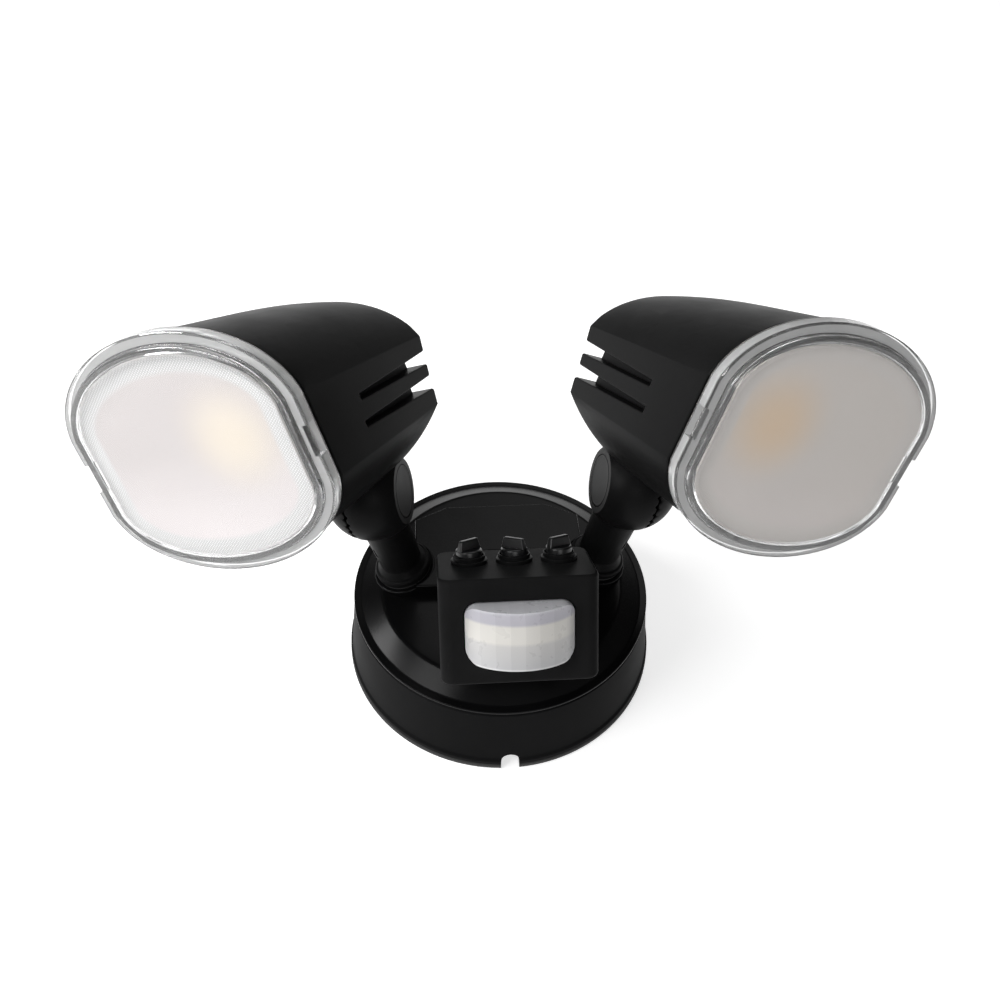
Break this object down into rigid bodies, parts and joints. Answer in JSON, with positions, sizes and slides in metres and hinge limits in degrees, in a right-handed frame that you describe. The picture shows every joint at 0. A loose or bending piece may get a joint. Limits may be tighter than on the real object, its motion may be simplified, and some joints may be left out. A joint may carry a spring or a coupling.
{
  "type": "motion sensor security light",
  "caption": "Round-based outdoor security light with two finned lamp heads on ball-ended arms and a tilting motion sensor box with three setting knobs.",
  "frame": {"origin": "The middle of the round base's back, in the plane that rests on the wall or soffit, midway between the two wall screws.", "axes": "+X runs across the light towards its right-hand lamp, -Y is the side that the lamps and the sensor face, and +Z leaves the wall or soffit through the base."},
  "size_m": [0.2488, 0.1201, 0.1667],
  "materials": {
    "shell_black": "fine matte moulded black",
    "base_black": "satin to glossy moulded black",
    "knob_black": "matte black",
    "rubber": "soft black",
    "clear_cover": "clear, polished",
    "diffuser_white": "frosted white",
    "reflector_white": "white, bright",
    "pir_milky": "milky, ribbed",
    "board_green": "printed board",
    "board_white": "white printed board",
    "led_phosphor": "yellow phosphor",
    "aluminium": "plain",
    "steel": "zinc plated",
    "zinc_steel": "zinc plated sheet",
    "can_metal": "plated can",
    "brass": "plain",
    "terminal_plastic": "off-white",
    "inner_plastic": "dark grey",
    "trimmer_blue": "blue"
  },
  "bodies": {
    "base": {"base_housing": "base_black", "wall_gasket": "rubber", "mounting_plate": "zinc_steel", "plate_screws": "steel", "cable_grommet": "rubber", "terminal_block": "terminal_plastic", "terminal_screws": "brass", "driver_board": "board_green", "driver_standoffs": "inner_plastic", "foot_seal_right": "rubber", "foot_seal_left": "rubber", "sensor_bracket": "shell_black", "sensor_pin": "steel", "bracket_screws": "steel"},
    "arm_right": {"arm_right": "shell_black", "disc_cap_right": "shell_black", "lock_nut_right": "inner_plastic"},
    "head_right": {"head_housing_right": "shell_black", "hinge_bolt_right": "steel", "hinge_nut_right": "steel", "head_gasket_right": "rubber", "lens_cover_right": "clear_cover", "diffuser_right": "diffuser_white", "reflector_right": "reflector_white", "led_board_right": "board_white", "led_chip_right": "led_phosphor", "heat_plate_right": "aluminium", "led_screws_right": "steel"},
    "arm_left": {"arm_left": "shell_black", "disc_cap_left": "shell_black", "lock_nut_left": "inner_plastic"},
    "head_left": {"head_housing_left": "shell_black", "hinge_bolt_left": "steel", "hinge_nut_left": "steel", "head_gasket_left": "rubber", "lens_cover_left": "clear_cover", "diffuser_left": "diffuser_white", "reflector_left": "reflector_white", "led_board_left": "board_white", "led_chip_left": "led_phosphor", "heat_plate_left": "aluminium", "led_screws_left": "steel"},
    "sensor": {"sensor_housing": "shell_black", "sensor_back": "shell_black", "sensor_screws": "steel", "pir_lens": "pir_milky", "pir_board": "board_green", "pir_detector": "can_metal", "knob_collars": "shell_black", "trimmers": "trimmer_blue", "control_board": "board_green"},
    "knob_left": {"knob_left": "knob_black"},
    "knob_middle": {"knob_middle": "knob_black"},
    "knob_right": {"knob_right": "knob_black"}
  },
  "joints": [
    {"name": "swivel_right", "type": "hinge", "parent": "base", "child": "arm_right", "pos_m": [0.04403, 0.0047, 0.07823], "axis": [0.2198, 0, 0.9755], "range_deg": [-19, 24]},
    {"name": "tilt_right", "type": "hinge", "parent": "arm_right", "child": "head_right", "pos_m": [0.04403, 0.0047, 0.07823], "axis": [0.9754, 0.0157, -0.2198], "range_deg": [-50, 28]},
    {"name": "swivel_left", "type": "hinge", "parent": "base", "child": "arm_left", "pos_m": [-0.04403, 0.0047, 0.07823], "axis": [-0.2198, 0, 0.9755], "range_deg": [-16, 27]},
    {"name": "tilt_left", "type": "hinge", "parent": "arm_left", "child": "head_left", "pos_m": [-0.04403, 0.0047, 0.07823], "axis": [0.9633, -0.1582, 0.2171], "range_deg": [-50, 28]},
    {"name": "sensor_tilt", "type": "hinge", "parent": "base", "child": "sensor", "pos_m": [0.0018, -0.014, 0.049], "axis": [1, 0, 0], "range_deg": [-30, 8]},
    {"name": "knob_left_turn", "type": "hinge", "parent": "sensor", "child": "knob_left", "pos_m": [-0.0127, -0.02411, 0.07488], "axis": [0, 0.5461, 0.8377], "range_deg": [-135, 135]},
    {"name": "knob_middle_turn", "type": "hinge", "parent": "sensor", "child": "knob_middle", "pos_m": [0.0018, -0.02411, 0.07488], "axis": [0, 0.5461, 0.8377], "range_deg": [-135, 135]},
    {"name": "knob_right_turn", "type": "hinge", "parent": "sensor", "child": "knob_right", "pos_m": [0.0163, -0.02411, 0.07488], "axis": [0, 0.5461, 0.8377], "range_deg": [-135, 135]}
  ]
}
